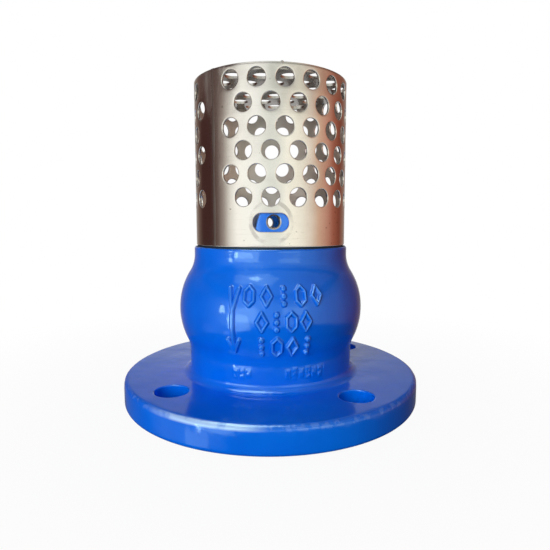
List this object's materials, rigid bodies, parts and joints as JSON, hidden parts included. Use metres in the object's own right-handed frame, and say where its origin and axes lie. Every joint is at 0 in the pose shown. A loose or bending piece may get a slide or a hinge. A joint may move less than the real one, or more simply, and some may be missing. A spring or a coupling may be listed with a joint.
{
  "type": "foot valve",
  "caption": "Flanged spring-loaded foot valve with a perforated suction strainer, standing on its pipe flange.",
  "frame": {"origin": "centre of the flange's sealing face, the lowest face of the valve as it stands", "axes": "+Z along the flow passage from the pipe flange to the strainer; -Y is the front, with the flow arrow and raised marks; +X to the right"},
  "size_m": [0.185, 0.185, 0.1969],
  "materials": {
    "blue_epoxy": "glossy fusion-bonded epoxy over cast iron",
    "strainer_sheet": "bright rolled stainless sheet",
    "weld_bead": "brushed weld",
    "seat_bronze": "turned bronze",
    "bush_bronze": "turned bearing bronze",
    "guide_steel": "cast stainless, bead blasted",
    "spring_steel": "drawn stainless wire",
    "fastener_steel": "bright stainless fastener",
    "turned_steel": "turned stainless",
    "disc_steel": "turned stainless casting",
    "rubber": "moulded black rubber"
  },
  "bodies": {
    "housing": {"valve_body": "blue_epoxy", "front_strainer_lug": "blue_epoxy", "rear_strainer_lug": "blue_epoxy", "strainer_tube": "strainer_sheet", "strainer_seam_weld": "weld_bead", "strainer_end_plate": "strainer_sheet", "end_plate_tack_welds": "weld_bead", "seat_ring": "seat_bronze", "seat_ring_o_ring": "rubber", "inlet_guide_bush": "bush_bronze", "outlet_guide": "guide_steel", "outlet_guide_bush": "bush_bronze", "outlet_circlip": "spring_steel", "spring_seat_washer": "fastener_steel", "closing_spring": "spring_steel"},
    "poppet": {"stem": "turned_steel", "valve_disc": "disc_steel", "disc_seal": "rubber", "seal_clamp_plate": "turned_steel", "spring_cup": "fastener_steel", "stem_washer": "fastener_steel", "stem_nut": "fastener_steel", "split_pin": "fastener_steel"}
  },
  "joints": [
    {"name": "disc_lift", "type": "slide", "parent": "housing", "child": "poppet", "axis": [0, 0, -1], "range_m": [0, 0.015], "stiffness_N_per_m": 540, "springref_m": -0.0185, "deforming": ["closing_spring"]}
  ]
}
